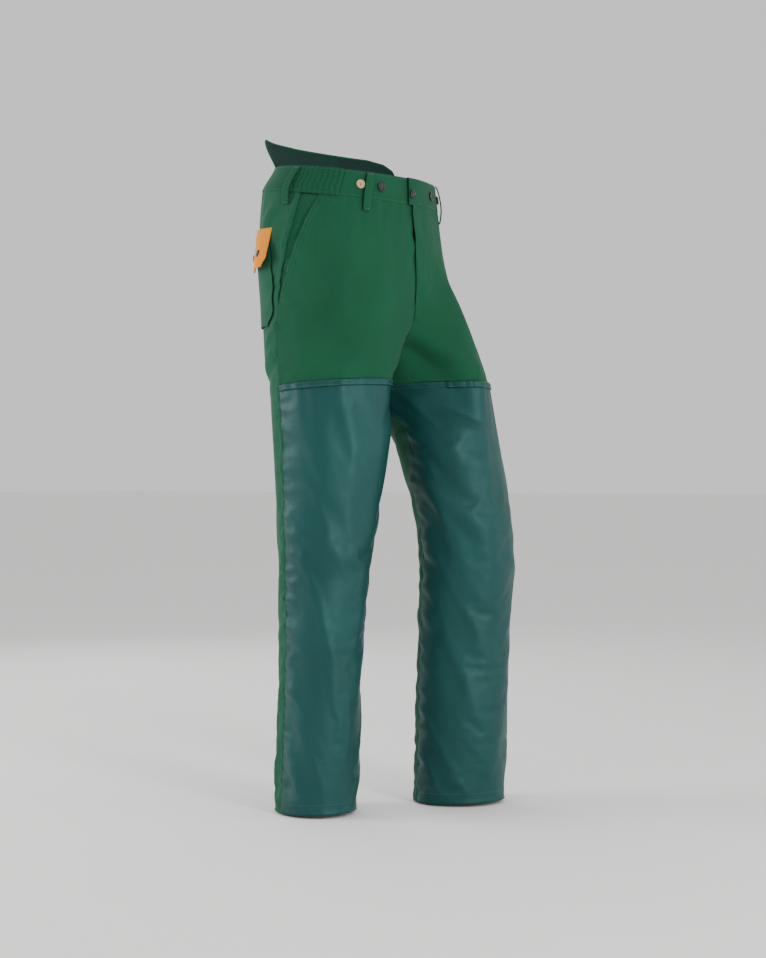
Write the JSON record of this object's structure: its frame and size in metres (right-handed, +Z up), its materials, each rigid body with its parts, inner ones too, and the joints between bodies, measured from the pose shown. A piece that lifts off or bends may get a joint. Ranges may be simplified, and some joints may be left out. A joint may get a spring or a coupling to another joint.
{
  "type": "chainsaw protective trousers",
  "caption": "Chainsaw-protective work trousers with padded coated legs, belt loops, brace buttons, zip fly, raised kidney flap and an orange back-pocket flap.",
  "frame": {"origin": "centre of the waist opening, level with the top edge of the waistband at the sides", "axes": "+Z up along the body, -Y towards the front, +X towards the wearer's left"},
  "size_m": [0.3758, 0.396, 1.1333],
  "materials": {
    "green_twill": "matt cotton and polyester twill",
    "orange_twill": "bright orange twill",
    "coated_nylon": "smooth polyurethane-coated nylon with a soft sheen",
    "cut_pad_knit": "undyed cut-retardant knit",
    "lining_cloth": "matt polyester lining",
    "pocket_cloth": "matt pocketing",
    "waistband_canvas": "stiff undyed canvas",
    "elastic": "woven elastic",
    "dark_button": "semi-gloss moulded plastic",
    "cream_button": "semi-gloss moulded plastic",
    "zip_tape": "woven zip tape",
    "zip_metal": "black-lacquered metal",
    "stud_metal": "black-lacquered metal"
  },
  "bodies": {
    "trousers": {"back_panel_left": "green_twill", "back_panel_right": "green_twill", "back_pocket": "green_twill", "belt_loop_back": "green_twill", "belt_loop_back_left": "green_twill", "belt_loop_back_right": "green_twill", "belt_loop_front_left": "green_twill", "belt_loop_front_right": "green_twill", "belt_loop_side_left": "green_twill", "belt_loop_side_right": "green_twill", "brace_button_back_left": "dark_button", "brace_button_back_right": "dark_button", "brace_button_front_left_inner": "dark_button", "brace_button_front_left_outer": "dark_button", "brace_button_front_right_inner": "dark_button", "brace_button_front_right_outer": "cream_button", "cut_pad_left": "cut_pad_knit", "cut_pad_right": "cut_pad_knit", "flap_stud_socket_back": "stud_metal", "flap_stud_socket_front": "stud_metal", "fly_button": "dark_button", "fly_facing": "green_twill", "fly_underlap": "green_twill", "front_panel_left": "green_twill", "front_panel_right": "green_twill", "hem_facing_left": "coated_nylon", "hem_facing_right": "coated_nylon", "kidney_flap": "green_twill", "kidney_flap_lining": "lining_cloth", "leg_panel_left": "coated_nylon", "leg_panel_right": "coated_nylon", "lining_left": "lining_cloth", "lining_right": "lining_cloth", "side_pocket_bag_left": "pocket_cloth", "side_pocket_bag_right": "pocket_cloth", "side_pocket_facing_left": "green_twill", "side_pocket_facing_right": "green_twill", "waist_elastic_left": "elastic", "waist_elastic_right": "elastic", "waistband_back_left": "green_twill", "waistband_back_right": "green_twill", "waistband_canvas_back": "waistband_canvas", "waistband_canvas_front_left": "waistband_canvas", "waistband_canvas_front_right": "waistband_canvas", "waistband_facing_left": "lining_cloth", "waistband_facing_right": "lining_cloth", "waistband_front_left": "green_twill", "waistband_front_right": "green_twill", "waistband_side_left": "green_twill", "waistband_side_right": "green_twill", "zip_bottom_stop": "zip_metal", "zip_tape_left": "zip_tape", "zip_tape_right": "zip_tape", "zip_teeth_left": "zip_metal", "zip_teeth_right": "zip_metal"},
    "zip_slider": {"zip_slider": "zip_metal"},
    "zip_pull": {"zip_pull": "zip_metal"},
    "pocket_flap": {"back_pocket_flap": "orange_twill", "flap_stud_cap_front": "stud_metal", "flap_stud_cap_back": "stud_metal"}
  },
  "joints": [
    {"name": "zip_slide", "type": "slide", "parent": "trousers", "child": "zip_slider", "axis": [0, 0, -1], "range_m": [0, 0.118]},
    {"name": "zip_pull_hinge", "type": "hinge", "parent": "zip_slider", "child": "zip_pull", "pos_m": [-0.003, -0.12615, -0.0729], "axis": [-1, 0, 0], "range_deg": [0, 6]},
    {"name": "pocket_flap_hinge", "type": "hinge", "parent": "trousers", "child": "pocket_flap", "pos_m": [-0.14905, 0.08957, -0.09589], "axis": [0.6405, 0.768, 0], "range_deg": [0, 100]}
  ]
}
